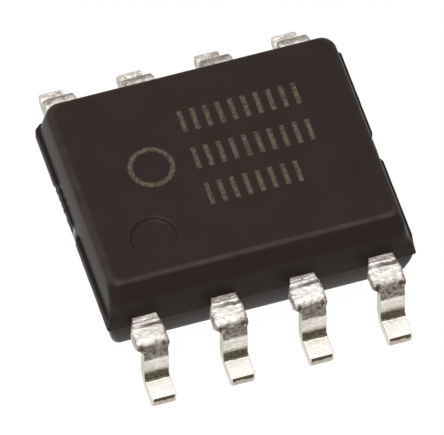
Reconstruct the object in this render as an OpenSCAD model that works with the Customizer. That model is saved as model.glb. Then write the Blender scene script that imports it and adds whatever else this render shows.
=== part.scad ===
// Small-outline chip package with eight gull-wing leads on a 1.27 mm pitch, built up
// from its real pieces: the leadframe's paddle and leads, the die and the adhesive
// under it, the bond wires, and the resin that is moulded round them all.
//
// The origin is on the seating plane under the middle of the body. X runs along the
// body's length, Y across the two rows of leads and Z upwards. Lead 1 is at -X, -Y,
// beside the round index dimple, and the numbers run anticlockwise seen from above.

/* [Body] */
// Length of the body at its parting line
body_l = 4.90; // [4.80:0.05:5.20]
// Width of the body at its parting line
body_w = 3.90; // [3.75:0.05:4.00]
// Gap between the seating plane and the underside of the body
standoff = 0.18; // [0.10:0.01:0.25]
// Depth of the body's lower half, from the underside to the leadframe
lower_h = 0.54; // [0.48:0.01:0.62]
// Height of the body's upper half, from the leadframe to the top face
upper_h = 0.56; // [0.52:0.01:0.70]
// How far each end wall leans in from the parting line to the top or bottom face
end_draft = 0.10; // [0.04:0.01:0.14]
// How far each side wall leans in from the parting line to the top or bottom face
side_draft = 0.10; // [0.04:0.01:0.14]
// Radius of the upper half's vertical corners
upper_corner_r = 0.22; // [0.10:0.01:0.30]
// Radius of the lower half's vertical corners
lower_corner_r = 0.10; // [0.05:0.01:0.20]
// Radius of the edge round the top face
top_edge_r = 0.06; // [0.03:0.01:0.10]
// Radius of the edge round the underside
bottom_edge_r = 0.03; // [0.02:0.01:0.08]
// Width of the 45 degree bevel along the top edge above leads 1 to 4
bevel = 0.24; // [0.16:0.01:0.32]

/* [Parting flange] */
// How far the flange stands out from each end of the body
flange_out = 0.05; // [0.02:0.01:0.10]
// Gap in each flange where the paddle's tie bar was cut off
flange_gap = 0.44; // [0.40:0.02:0.60]
// Distance from each body corner to the end of its flange
flange_inset = 0.06; // [0.04:0.01:0.20]

/* [Index dimple] */
// Diameter of the dimple beside lead 1
dimple_d = 0.78; // [0.50:0.02:0.90]
// Depth of the dimple
dimple_depth = 0.07; // [0.03:0.01:0.12]
// Distance from the body's end to the centre of the dimple
dimple_from_end = 1.00; // [0.80:0.02:1.10]
// Distance from the body's side to the centre of the dimple
dimple_from_side = 0.99; // [0.90:0.02:1.20]

/* [Leads] */
// Distance between the centres of neighbouring leads
pitch = 1.27; // [1.20:0.01:1.30]
// Distance from the toes of one row to the toes of the other
toe_span = 6.00; // [5.90:0.05:6.20]
// Thickness of the leadframe strip
strip_t = 0.19; // [0.15:0.01:0.22]
// Width of a lead at the body and down its leg and foot
lead_w = 0.40; // [0.34:0.01:0.46]
// Width of the shoulder, where the dam bar between the leads was cut off
shoulder_w = 0.55; // [0.48:0.01:0.62]
// How far the wide shoulder reaches down over the first bend
shoulder_drop = 0.19; // [0.12:0.01:0.24]
// Inside radius of the bend at the shoulder
shoulder_r = 0.10; // [0.06:0.01:0.14]
// Inside radius of the bend above the foot
heel_r = 0.14; // [0.08:0.01:0.18]
// Angle of the leg above the horizontal
leg_angle = 80; // [76:1:86]
// Length of the flat part of the foot
foot_l = 0.31; // [0.25:0.01:0.36]

/* [Die and paddle] */
// Length of the paddle that the die sits on
paddle_l = 2.30; // [2.00:0.05:2.40]
// Width of the paddle
paddle_w = 1.90; // [1.60:0.05:2.00]
// How far the paddle is set down below the leads
downset = 0.20; // [0.10:0.01:0.26]
// Width of the two tie bars that held the paddle in its frame
tie_w = 0.30; // [0.20:0.01:0.36]
// Clearance between the paddle and the lead fingers round it
frame_gap = 0.20; // [0.15:0.01:0.25]
// Length of the die
die_l = 1.46; // [1.20:0.02:1.80]
// Width of the die
die_w = 1.14; // [0.90:0.02:1.40]
// Thickness of the die
die_t = 0.25; // [0.18:0.01:0.28]
// Thickness of the adhesive under the die
attach_t = 0.03; // [0.02:0.01:0.05]
// How far the adhesive spreads out past the die
attach_out = 0.06; // [0.03:0.01:0.10]

/* [Bond wires] */
// Diameter of the wire
wire_d = 0.030; // [0.025:0.005:0.040]
// Diameter of the ball that bonds a wire to the die
ball_d = 0.080; // [0.060:0.005:0.100]
// Height of the squashed ball
ball_h = 0.020; // [0.015:0.005:0.030]
// Height of a wire's loop above the die
loop_h = 0.15; // [0.10:0.01:0.18]
// Distance from the die's edge to the centre of a bond pad
pad_inset = 0.09; // [0.07:0.01:0.14]
// Distance from the tip of a lead finger to the end of its wire
stitch_inset = 0.12; // [0.08:0.01:0.20]

/* [Hidden] */
leads_a_side = 4;
lead_numbers = [1 : 2 * leads_a_side];

resin = [0.20, 0.18, 0.18];
tin = [0.84, 0.82, 0.79];
copper = [0.76, 0.50, 0.36];
silver_resin = [0.70, 0.70, 0.68];
silicon = [0.36, 0.40, 0.45];
gold = [0.88, 0.68, 0.26];

// Heights above the seating plane, from the underside of the body upwards.
strip_bottom_z = standoff + lower_h;
strip_top_z = strip_bottom_z + strip_t;
body_top_z = strip_top_z + upper_h;
paddle_top_z = strip_top_z - downset;
attach_top_z = paddle_top_z + attach_t;
die_top_z = attach_top_z + die_t;

// A lead leaves the body flat, bends down over its shoulder, and bends out into its foot.
exit_y = body_w / 2;
toe_y = toe_span / 2;
foot_start_y = toe_y - foot_l;
bends_r = shoulder_r + heel_r + strip_t;
leg_l = (strip_bottom_z - bends_r * (1 - cos(leg_angle))) / sin(leg_angle);
shoulder_start_y = foot_start_y - bends_r * sin(leg_angle) - leg_l * cos(leg_angle);
bend_steps = 8;
trim_slope = 0.03;

// Inside the body each lead ends in a finger that is wider than the lead, so that it
// can't be pulled out: the end leads reach in beside the paddle, the others in front.
side_tip = [paddle_l / 2 + frame_gap, tie_w / 2 + frame_gap];
front_tip_y = paddle_w / 2 + frame_gap;
finger_w = 0.60;
finger_l = 0.34;
finger_taper = 0.14;
lock_hole_d = 0.24;

// The tie bars step up from the paddle to the height of the leads.
tie_step_start = 0.06;
tie_step_l = 0.16;
paddle_corner = 0.10;
attach_corner_r = 0.12;

// A wire rises from its ball, turns over in a tight bend and runs down to its finger.
wire_sides = 8;
wire_flat = wire_d / 2 * cos(180 / wire_sides);
wire_bend_r = 0.06;
wire_bend_end = 75;
wire_bend_steps = 4;
stitch_l = 0.08;
pad_spacing = (die_l - 2 * pad_inset) / (leads_a_side - 1);

corner_fn = 32;
edge_step_angle = 30;
section_t = 0.002;
through = 0.05;

// Points of an arc, from one angle to another in equal steps.
function arc(centre, r, from, to, steps) = [
    for (i = [0 : steps])
        let (a = from + (to - from) * i / steps) centre + r * [cos(a), sin(a)]
];

// Column 0 is at the -X end of both rows. Leads 1 to 4 are the -Y row.
function column(n) = n <= leads_a_side ? n - 1 : 2 * leads_a_side - n;
function lead_x(n) = (column(n) - (leads_a_side - 1) / 2) * pitch;
function pad_x(n) = (column(n) - (leads_a_side - 1) / 2) * pad_spacing;
function is_end_lead(n) = column(n) == 0 || column(n) == leads_a_side - 1;

// Turns what is drawn at +X, +Y to the quarter of the package that lead n is in.
module in_quarter(n) {
    mirror([lead_x(n) < 0 ? 1 : 0, 0, 0])
        mirror([0, n <= leads_a_side ? 1 : 0, 0])
            children();
}

// Rectangle with round corners.
module round_rect(size, r) {
    square([size.x - 2 * r, size.y], center = true);
    square([size.x, size.y - 2 * r], center = true);
    for (x = [-1, 1], y = [-1, 1])
        translate([x * (size.x / 2 - r), y * (size.y / 2 - r)])
            circle(r, $fn = corner_fn);
}

// Half of the moulding, standing on the parting line: the walls lean in to the face,
// and the edge round the face is rounded. It is the hull of its sections.
module drafted_half(h, corner_r, edge_r) {
    edge = [for (a = [0 : edge_step_angle : 90]) [h - edge_r * (1 - sin(a)), edge_r * (1 - cos(a))]];
    hull()
        for (section = concat([[section_t, 0]], edge)) {
            lean = section[0] < h / 2 ? 0 : section[0] / h;
            size = [
                body_l - 2 * (end_draft * lean + section[1]),
                body_w - 2 * (side_draft * lean + section[1])
            ];
            translate([0, 0, section[0] - section_t])
                linear_extrude(section_t)
                    round_rect(size, corner_r - section[1] / 2);
        }
}

// Plan of the moulding between its halves, as thick as the strip. Each end has a thin
// flange, with sloped ends and a gap in the middle where the tie bar was cut off.
module parting_plan() {
    flange_end = body_w / 2 - flange_inset;
    round_rect([body_l, body_w], lower_corner_r);
    for (x = [-1, 1], y = [-1, 1])
        scale([x, y])
            polygon([
                [body_l / 2 - through, flange_gap / 2],
                [body_l / 2, flange_gap / 2],
                [body_l / 2 + flange_out, flange_gap / 2 + flange_out],
                [body_l / 2 + flange_out, flange_end - flange_out],
                [body_l / 2, flange_end],
                [body_l / 2 - through, flange_end]
            ]);
}

// Wedge that cuts the bevel along the top edge above leads 1 to 4.
module bevel_cut() {
    edge_y = body_w / 2 - side_draft;
    translate([-body_l / 2 - through, 0, 0])
        rotate([90, 0, 90])
            linear_extrude(body_l + 2 * through)
                polygon([
                    [-edge_y + bevel + through, body_top_z + through],
                    [-edge_y - upper_h, body_top_z - bevel - upper_h],
                    [-edge_y - upper_h, body_top_z + through]
                ]);
}

module moulding() {
    difference() {
        union() {
            translate([0, 0, strip_top_z])
                drafted_half(upper_h, upper_corner_r, top_edge_r);
            translate([0, 0, strip_bottom_z])
                linear_extrude(strip_t)
                    parting_plan();
            translate([0, 0, strip_bottom_z])
                mirror([0, 0, 1])
                    drafted_half(lower_h, lower_corner_r, bottom_edge_r);
        }
        bevel_cut();
        translate([dimple_from_end - body_l / 2, dimple_from_side - body_w / 2, body_top_z - dimple_depth])
            cylinder(dimple_depth + through, d = dimple_d, $fn = 2 * corner_fn);
    }
}

// Black epoxy, moulded round everything inside it.
module body() {
    color(resin)
        difference() {
            moulding();
            die_paddle();
            die_attach();
            die();
            for (n = lead_numbers) {
                lead(n);
                bond_wire(n);
            }
        }
}

// Side view of the strip along a lead, from a finger inside the body out to the toe.
module lead_side() {
    shoulder = [shoulder_start_y, strip_bottom_z - shoulder_r];
    heel = [foot_start_y, strip_t + heel_r];
    polygon(concat(
        [[0, strip_top_z]],
        arc(shoulder, shoulder_r + strip_t, 90, 90 - leg_angle, bend_steps),
        arc(heel, heel_r, 270 - leg_angle, 270, bend_steps),
        [[toe_y, strip_t], [toe_y, 0]],
        arc(heel, heel_r + strip_t, 270, 270 - leg_angle, bend_steps),
        arc(shoulder, shoulder_r, 90 - leg_angle, 90, bend_steps),
        [[0, strip_bottom_z]]
    ));
}

// One side of a lead in plan, from the toe in to the body, for a side of +1 or -1.
function outer_side(x, side) = [
    [x + side * shoulder_w / 2, toe_y + through],
    [x + side * shoulder_w / 2, shoulder_start_y],
    [x + side * lead_w / 2, exit_y]
];

// One side of a straight finger in plan, from the body in to its tip.
function straight_side(x, side) = [
    [x + side * lead_w / 2, front_tip_y + finger_l],
    [x + side * finger_w / 2, front_tip_y + finger_l - finger_taper],
    [x + side * finger_w / 2, front_tip_y]
];

function reversed(list) = [for (i = [len(list) - 1 : -1 : 0]) list[i]];

// Plan of a lead whose finger ends in front of the paddle.
module front_lead_plan(x) {
    polygon(concat(
        outer_side(x, 1),
        straight_side(x, 1),
        reversed(straight_side(x, -1)),
        reversed(outer_side(x, -1))
    ));
}

// Plan of an end lead, whose finger widens beside the paddle round a locking hole.
module end_lead_plan(x) {
    difference() {
        polygon(concat(
            outer_side(x, 1),
            [[x + lead_w / 2, side_tip.y], side_tip, [side_tip.x, front_tip_y]],
            [[x - lead_w / 2, front_tip_y + finger_l]],
            reversed(outer_side(x, -1))
        ));
        translate([x, front_tip_y])
            circle(d = lock_hole_d, $fn = corner_fn);
    }
}

// What is trimmed off the two sides of a lead, below the wide shoulder.
module leg_trims(x) {
    trim_z = strip_top_z - shoulder_drop;
    for (side = [-1, 1])
        translate([x, toe_y + through, 0])
            rotate([90, 0, 0])
                linear_extrude(toe_y + through - shoulder_start_y)
                    scale([side, 1])
                        polygon([
                            [lead_w / 2, -through],
                            [shoulder_w / 2 + through, -through],
                            [shoulder_w / 2 + through, trim_z],
                            [shoulder_w / 2, trim_z],
                            [lead_w / 2, trim_z - trim_slope]
                        ]);
}

// Tin-plated copper lead: a flat strip with its outline punched, then bent twice.
module lead(n) {
    x = abs(lead_x(n));
    color(tin)
        in_quarter(n)
            difference() {
                intersection() {
                    translate([x - pitch / 2, 0, 0])
                        rotate([90, 0, 90])
                            linear_extrude(pitch)
                                lead_side();
                    linear_extrude(body_top_z)
                        if (is_end_lead(n))
                            end_lead_plan(x);
                        else
                            front_lead_plan(x);
                }
                leg_trims(x);
            }
}

// One end of the paddle's side view, at its upper face, from the middle outwards.
function paddle_step(z) = [
    [paddle_l / 2 + tie_step_start, z - downset],
    [paddle_l / 2 + tie_step_start + tie_step_l, z],
    [body_l / 2, z]
];

function mirrored(list) = [for (p = reversed(list)) [-p.x, p.y]];

// Copper paddle, set down below the leads, with the tie bar at each end that held it
// in its frame while the body was moulded.
module die_paddle() {
    top = paddle_step(strip_top_z);
    underside = paddle_step(strip_bottom_z);
    color(copper)
        intersection() {
            translate([0, paddle_w / 2, 0])
                rotate([90, 0, 0])
                    linear_extrude(paddle_w)
                        polygon(concat(mirrored(top), top, reversed(underside), reversed(mirrored(underside))));
            linear_extrude(body_top_z) {
                square([body_l, tie_w], center = true);
                square([paddle_l - 2 * paddle_corner, paddle_w], center = true);
                square([paddle_l, paddle_w - 2 * paddle_corner], center = true);
            }
        }
}

// Silver-filled adhesive, squeezed out a little past the die.
module die_attach() {
    color(silver_resin)
        translate([0, 0, paddle_top_z])
            linear_extrude(attach_t)
                round_rect([die_l + 2 * attach_out, die_w + 2 * attach_out], attach_corner_r);
}

module die() {
    color(silicon)
        translate([-die_l / 2, -die_w / 2, attach_top_z])
            cube([die_l, die_w, die_t]);
}

// A wire in its own upright plane, as [distance from the ball, height, radius].
function wire_path(run) =
    let (
        top = die_top_z + loop_h,
        bend = arc([wire_bend_r, top - wire_bend_r], wire_bend_r, 180, wire_bend_end, wire_bend_steps),
        stitch_z = strip_top_z + wire_flat
    )
    concat(
        [[0, die_top_z, ball_d / 2], [0, die_top_z + ball_h, ball_d / 2]],
        [[0, die_top_z + 2 * ball_h, wire_d / 2]],
        [for (p = bend) [p.x, p.y, wire_d / 2]],
        [[run - stitch_l, stitch_z, wire_d / 2], [run, stitch_z, wire_d / 2]]
    );

// Which way a wire runs at one of its points, as an angle above the horizontal.
function wire_angle(path, i) =
    let (
        before = path[max(i - 1, 0)],
        after = path[min(i + 1, len(path) - 1)]
    )
    atan2(after.y - before.y, after.x - before.x);

// Gold wire, from its ball on the die to its stitch on a finger, as a tube of rings.
module wire_tube(start, end) {
    run = norm(end - start);
    along = (end - start) / run;
    path = wire_path(run);
    points = [
        for (i = [0 : len(path) - 1], k = [0 : wire_sides - 1])
            let (
                p = path[i],
                lift = wire_angle(path, i),
                a = 360 * (k + 0.5) / wire_sides,
                side = p.z * cos(a),
                up = p.z * sin(a),
                at = start + (p.x - up * sin(lift)) * along + side * [-along.y, along.x]
            )
            [at.x, at.y, p.y + up * cos(lift)]
    ];
    walls = [
        for (i = [0 : len(path) - 2], k = [0 : wire_sides - 1])
            let (
                a = i * wire_sides + k,
                b = i * wire_sides + (k + 1) % wire_sides
            )
            each [[a, b, a + wire_sides], [b, b + wire_sides, a + wire_sides]]
    ];
    first = [for (k = [wire_sides - 1 : -1 : 0]) k];
    last = [for (k = [0 : wire_sides - 1]) (len(path) - 1) * wire_sides + k];
    polyhedron(points, concat(walls, [first, last]));
}

module bond_wire(n) {
    pad = [abs(pad_x(n)), die_w / 2 - pad_inset];
    end = is_end_lead(n)
        ? [side_tip.x + stitch_inset, (side_tip.y + front_tip_y) / 2]
        : [abs(lead_x(n)), front_tip_y + stitch_inset];
    color(gold)
        in_quarter(n)
            wire_tube(pad, end);
}

body();
die_paddle();
die_attach();
die();
for (n = lead_numbers) {
    lead(n);
    bond_wire(n);
}
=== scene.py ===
"""Looks for the eight-lead small-outline chip package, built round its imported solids.

All lengths in a section's sizes are in millimetres, and MM turns them into metres.
"""
import math

import bmesh
import bpy
import numpy as np
from mathutils import Matrix, Vector, noise


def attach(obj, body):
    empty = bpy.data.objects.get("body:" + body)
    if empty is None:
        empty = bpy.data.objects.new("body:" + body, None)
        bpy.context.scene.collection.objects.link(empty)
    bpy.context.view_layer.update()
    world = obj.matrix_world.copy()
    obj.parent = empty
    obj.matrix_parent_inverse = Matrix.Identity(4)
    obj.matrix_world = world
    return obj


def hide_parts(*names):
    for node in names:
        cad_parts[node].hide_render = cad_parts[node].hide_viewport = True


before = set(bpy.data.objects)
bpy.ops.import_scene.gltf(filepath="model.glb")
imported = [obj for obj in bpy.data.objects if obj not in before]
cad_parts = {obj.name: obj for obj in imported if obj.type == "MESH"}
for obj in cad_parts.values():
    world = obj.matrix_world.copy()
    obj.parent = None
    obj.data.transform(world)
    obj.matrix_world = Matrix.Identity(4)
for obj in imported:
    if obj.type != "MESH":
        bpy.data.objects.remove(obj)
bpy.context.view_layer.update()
MM = 0.001


# ---------------------------------------------------------------------------
# Paddle and tie bars: the stamped copper plate that the die sits on, silver-plated on
# its face. Its two tie bars are cut off at the ends of the body, where their bare ends
# show, a hair proud of the resin.
# ---------------------------------------------------------------------------
TIE_STANDS_PROUD = 0.012
TIE_END_X = 2.445
STAMPED_EDGE = 0.012


def linear(code):
    """An sRGB hex colour as linear RGBA."""
    channels = [int(code[i:i + 2], 16) / 255 for i in (1, 3, 5)]
    return [c / 12.92 if c <= 0.04045 else ((c + 0.055) / 1.055) ** 2.4 for c in channels] + [1.0]


MODES = {
    "ShaderNodeMath": "operation", "ShaderNodeVectorMath": "operation", "ShaderNodeMix": "data_type",
    "ShaderNodeMapRange": "interpolation_type", "ShaderNodeTexNoise": "noise_dimensions",
    "ShaderNodeAttribute": "attribute_name", "GeometryNodeStoreNamedAttribute": "data_type"}


def add(tree, kind, settings=None, inputs=()):
    """Adds one node, sets its properties or just its mode, and links or sets its inputs.

    A node given as an input stands for the first output that it has in its mode.
    """
    made = tree.nodes.new(kind)
    if isinstance(settings, str):
        settings = {MODES[kind]: settings}
    for name, value in (settings or {}).items():
        setattr(made, name, value)
    for key, value in inputs.items() if isinstance(inputs, dict) else enumerate(inputs):
        if isinstance(value, bpy.types.Node):
            value = next(output for output in value.outputs if output.enabled)
        if isinstance(value, bpy.types.NodeSocket):
            tree.links.new(value, made.inputs[key])
        else:
            made.inputs[key].default_value = value
    return made


def new_material(name):
    """An empty material, its node tree, and the piece's own coordinates in millimetres."""
    material = bpy.data.materials.new(name)
    material.use_nodes = True
    tree = material.node_tree
    tree.nodes.clear()
    place = add(tree, "ShaderNodeTexCoord").outputs["Object"]
    in_mm = add(tree, "ShaderNodeVectorMath", "SCALE", {0: place, "Scale": 1 / MM})
    return material, tree, in_mm


def surface(tree, shader_inputs):
    """The material's surface, a Principled shader with these inputs."""
    shader = add(tree, "ShaderNodeBsdfPrincipled", None, shader_inputs)
    add(tree, "ShaderNodeOutputMaterial", None, {"Surface": shader})
    return shader


def shown_piece(name, mesh, *materials):
    """An object at the origin with that mesh and those materials."""
    piece = bpy.data.objects.new(name, mesh)
    bpy.context.scene.collection.objects.link(piece)
    for material in materials:
        mesh.materials.append(material)
    return piece


def merged_copy(node):
    """A CAD node's mesh as an editable mesh, with its loose triangles joined."""
    made = bmesh.new()
    made.from_mesh(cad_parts[node].data)
    bmesh.ops.remove_doubles(made, verts=made.verts, dist=1e-8)
    bmesh.ops.dissolve_limit(
        made, angle_limit=math.radians(1), verts=made.verts, edges=made.edges, delimit=set())
    return made


# Rolled copper strip, stamped: fine lines along the rolling direction, and a warm
# brown tarnish in patches. The cut ends of the tie bars are duller.
copper, tree, place = new_material("stamped_copper")
rolling = add(tree, "ShaderNodeMapping", None, {"Vector": place, "Scale": (4.0, 90.0, 90.0)})
lines = add(tree, "ShaderNodeTexNoise", None, {"Vector": rolling, "Scale": 1.0, "Detail": 3.0})
patches = add(tree, "ShaderNodeTexNoise", None, {"Vector": place, "Scale": 3.0, "Detail": 4.0})
clean = add(tree, "ShaderNodeMix", "RGBA", {0: patches, 6: linear("#d9a07c"), 7: linear("#e8bf9e")})
from_middle = add(tree, "ShaderNodeMath", "ABSOLUTE", [
    add(tree, "ShaderNodeSeparateXYZ", None, [place]).outputs["X"]])
cut_off = add(tree, "ShaderNodeMath", "GREATER_THAN", [from_middle, TIE_END_X])
tone = add(tree, "ShaderNodeMix", "RGBA", {0: cut_off, 6: clean, 7: linear("#8c7f70")})
relief = add(tree, "ShaderNodeBump", None, {"Height": lines, "Strength": 0.25, "Distance": 0.002 * MM})
gloss = add(tree, "ShaderNodeMapRange", None, {"Value": patches, "To Min": 0.26, "To Max": 0.42})
surface(tree, {"Base Color": tone, "Metallic": 1.0, "Roughness": gloss, "Normal": relief})

work = merged_copy("die_paddle")
cut_end = max(v.co.x for v in work.verts)
for corner in work.verts:
    if abs(corner.co.x) > cut_end - 0.01 * MM:
        corner.co.x += math.copysign(TIE_STANDS_PROUD * MM, corner.co.x)
mesh = bpy.data.meshes.new("paddle_with_tie_bars")
work.to_mesh(mesh)
work.free()
paddle = shown_piece("paddle_with_tie_bars", mesh, copper)
rounding = paddle.modifiers.new("stamped edge", "BEVEL")
rounding.width = STAMPED_EDGE * MM
rounding.segments = 3
rounding.limit_method = "ANGLE"
rounding.angle_limit = math.radians(40)
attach(paddle, "root")
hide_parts("die_paddle")


# ---------------------------------------------------------------------------
# Die attach: epoxy filled with silver flakes, dotted on the paddle, squeezed flat by the
# die and cured. Dull grey, with flakes that glint.
# ---------------------------------------------------------------------------
FLAKE = 0.012

silver_epoxy, tree, place = new_material("silver_filled_epoxy")
flakes = add(tree, "ShaderNodeTexVoronoi", None, {"Vector": place, "Scale": 1 / FLAKE})
shade = add(tree, "ShaderNodeMix", "RGBA", {
    0: flakes.outputs["Color"], 6: linear("#8d8c88"), 7: linear("#c9c8c3")})
relief = add(tree, "ShaderNodeBump", None, {"Height": flakes, "Strength": 0.5, "Distance": 0.004 * MM})
surface(tree, {"Base Color": shade, "Metallic": 0.6, "Roughness": 0.45, "Normal": relief})
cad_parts["die_attach"].data.materials.clear()
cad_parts["die_attach"].data.materials.append(silver_epoxy)


# ---------------------------------------------------------------------------
# Die: a polished chip of silicon, with aluminium tracks in blocks under a clear glass
# coat. Its blue-green tint comes from the coat's thickness.
# ---------------------------------------------------------------------------
BLOCK = 0.16
TRACK_PITCH = 0.022
WAVE_PITCH = 0.314

silicon, tree, place = new_material("coated_silicon")
blocks = add(tree, "ShaderNodeTexBrick", {"offset": 0.35, "squash": 0.7}, {
    "Vector": place, "Color1": linear("#4d5a66"), "Color2": linear("#6d6f78"),
    "Mortar": linear("#9fa3a6"), "Scale": 1.0, "Brick Width": 2 * BLOCK, "Row Height": BLOCK,
    "Mortar Size": 0.006, "Mortar Smooth": 0.1, "Bias": 0.1})
tracks = add(tree, "ShaderNodeTexWave", {"bands_direction": "X"}, {
    "Vector": place, "Scale": WAVE_PITCH / TRACK_PITCH, "Distortion": 0.0})
metal = add(tree, "ShaderNodeMapRange", None, {
    "Value": tracks.outputs["Fac"], "From Min": 0.45, "From Max": 0.55, "To Max": 0.35})
pattern = add(tree, "ShaderNodeMix", "RGBA", {0: metal, 6: blocks, 7: linear("#b7bbb9")})
surface(tree, {
    "Base Color": pattern, "Metallic": 0.5, "Roughness": 0.14,
    "Coat Weight": 0.6, "Coat Roughness": 0.04})
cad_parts["die"].data.materials.clear()
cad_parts["die"].data.materials.append(silicon)


# ---------------------------------------------------------------------------
# Bond wires: drawn gold, welded as a ball on the die and as a flat stitch on a finger.
# Bright, with faint drawing lines.
# ---------------------------------------------------------------------------
gold, tree, place = new_material("drawn_gold")
drawing = add(tree, "ShaderNodeTexNoise", None, {"Vector": place, "Scale": 60.0, "Detail": 2.0})
tone = add(tree, "ShaderNodeMix", "RGBA", {0: drawing, 6: linear("#e6b450"), 7: linear("#ffdc8c")})
relief = add(tree, "ShaderNodeBump", None, {"Height": drawing, "Strength": 0.2, "Distance": 0.001 * MM})
surface(tree, {"Base Color": tone, "Metallic": 1.0, "Roughness": 0.2, "Normal": relief})
LEAD_NUMBERS = range(1, 9)
for number in LEAD_NUMBERS:
    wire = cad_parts[f"bond_wire_{number}"].data
    wire.materials.clear()
    wire.materials.append(gold)


# ---------------------------------------------------------------------------
# Body: black epoxy filled with glass beads, moulded round the leadframe in two halves
# with drafted walls. It has a bevel above leads 1 to 4, a dimple beside lead 1, and a
# thin flange at each end, broken in the middle and rough where the resin came in.
# ---------------------------------------------------------------------------
BODY_L, BODY_W = 4.90, 3.90
BASE_Z, STRIP_BOTTOM_Z, STRIP_TOP_Z, TOP_Z = 0.18, 0.72, 0.91, 1.47
STRIP = STRIP_TOP_Z - STRIP_BOTTOM_Z
DRAFT, BACK_DRAFT, BAND_DRAFT = 0.10, 0.08, 0.016
LEFT_WAIST, RIGHT_WAIST, RIGHT_DRAFT = 0.036, 0.075, 0.125
BEVEL = 0.24
TOP_RUN = 0.14
BACK_CORNER, BACK_LOW_CORNER = 0.22, 0.10
BEVEL_CORNER, PARTING_CORNER, LOWER_CORNER = 0.17, 0.04, 0.11
FLANGE_OUT, FLANGE_GAP, FLANGE_INSET = 0.046, 0.44, 0.06
THIN_FROM, THIN_OVER = 0.25, 0.20
GATE_FROM, GATE_TO, GATE_FADE = -0.04, 0.86, 0.02
DIMPLE_X, DIMPLE_Y, DIMPLE_R, DIMPLE_DEPTH, DIMPLE_DISH = -1.45, -0.96, 0.39, 0.045, 0.012
ALONG_STEPS, ACROSS_STEPS, CORNER_STEPS, SOFT_STEPS = 98, 104, 10, 6
DIMPLE_STEPS = 72


def softened(corners):
    """A profile through corners given as (inset, height, softness, edge highlight) between two end
    points.

    Each point is (inset, height, edge highlight), and this pale edge value, a painted highlight that the
    material also treats as wear, peaks on the crown of each corner.
    """
    points = [np.array((*corners[0][:2], 0.0))]
    for before, corner, after in zip(corners, corners[1:], corners[2:]):
        at, reach = np.array(corner[:2]), corner[2]
        back = (np.array(before[:2]) - at) / np.linalg.norm(np.array(before[:2]) - at)
        on = (np.array(after[:2]) - at) / np.linalg.norm(np.array(after[:2]) - at)
        start, end = at + back * reach, at + on * reach
        first, last = points[-1], np.array((*start, 0.0))
        points += [first + (last - first) * share for share in (0.15, 0.5, 0.85)]
        for t in np.linspace(0, 1, SOFT_STEPS + 1):
            here = (1 - t) ** 2 * start + 2 * t * (1 - t) * at + t ** 2 * end
            points.append(np.array((*here, math.sin(math.pi * t) * corner[3])))
    points.append(np.array((*corners[-1][:2], 0.0)))
    return np.array(points)


def ring(front, left, back, right, front_corner, back_corner, flange=0.0):
    """One turn round the body, anticlockwise, as rows of place and painted edge highlight.

    front, left, back and right are (inset, height, edge highlight).
    """
    x_left, x_right = left[0] - BODY_L / 2, BODY_L / 2 - right[0]
    y_back, y_front = BODY_W / 2 - back[0], front[0] - BODY_W / 2
    rows = []

    def side(start, stop, profile, steps):
        for t in np.arange(steps) / steps:
            rows.append([
                start[0] + (stop[0] - start[0]) * t, start[1] + (stop[1] - start[1]) * t, *profile[1:]])

    def corner(centre, radius, turned, first, last):
        for t in np.arange(CORNER_STEPS) / CORNER_STEPS:
            a = math.radians(turned + 90 * t)
            ease = t * t * (3 - 2 * t)
            rows.append([
                centre[0] + radius * math.cos(a), centre[1] + radius * math.sin(a),
                *(first[1:] + (last[1:] - first[1:]) * ease)])

    fc, bc = front_corner, back_corner
    side((x_left + fc, y_front), (x_right - fc, y_front), front, ALONG_STEPS)
    corner((x_right - fc, y_front + fc), fc, -90, front, right)
    side((x_right, y_front + fc), (x_right, y_back - bc), right, ACROSS_STEPS)
    corner((x_right - bc, y_back - bc), bc, 0, right, back)
    side((x_right - bc, y_back), (x_left + bc, y_back), back, ALONG_STEPS)
    corner((x_left + bc, y_back - bc), bc, 90, back, left)
    side((x_left, y_back - bc), (x_left, y_front + fc), left, ACROSS_STEPS)
    corner((x_left + fc, y_front + fc), fc, 180, left, front)
    made = np.array(rows)
    if flange:
        made[:, 0] += np.sign(made[:, 0]) * flange * flange_share(made)
    return made


def flange_share(points):
    """How far the flange stands out at each point, as a share: none in the gap or at its ends."""
    away = np.abs(points[:, 1])
    inner = np.clip((away - FLANGE_GAP / 2) / FLANGE_OUT, 0, 1)
    outer = np.clip((BODY_W / 2 - FLANGE_INSET - away) / FLANGE_OUT, 0, 1)
    at_front = points[:, 1] < 0
    by_end = np.clip((np.abs(points[:, 0]) - BODY_L / 2 + PARTING_CORNER) / (0.6 * PARTING_CORNER), 0, 1)
    near_corner = np.clip((-points[:, 1] - BODY_W / 2 + THIN_FROM) / THIN_OVER, 0, 1)
    by_end *= 1 - 0.9 * near_corner * (points[:, 2] - STRIP_BOTTOM_Z) / STRIP
    share = np.minimum(inner, np.where(at_front, by_end, outer))
    for i, (x, y, z) in enumerate(points[:, :3]):
        if x < 0 and GATE_FROM < y < GATE_TO:
            torn = noise.noise((y * 9.0, z * 3.0, 4.0)) + 0.6 * noise.noise((y * 31.0, z * 9.0, 1.5))
            from_gate_end = min(y - GATE_FROM, GATE_TO - y)
            share[i] = min(1.0, from_gate_end / GATE_FADE) * (0.68 + 0.50 * torn)
        elif share[i] > 0:
            share[i] *= 0.95 + 0.06 * noise.noise((y * 6.0, x, 7.0))
    return np.clip(share, 0, 1)


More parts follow.
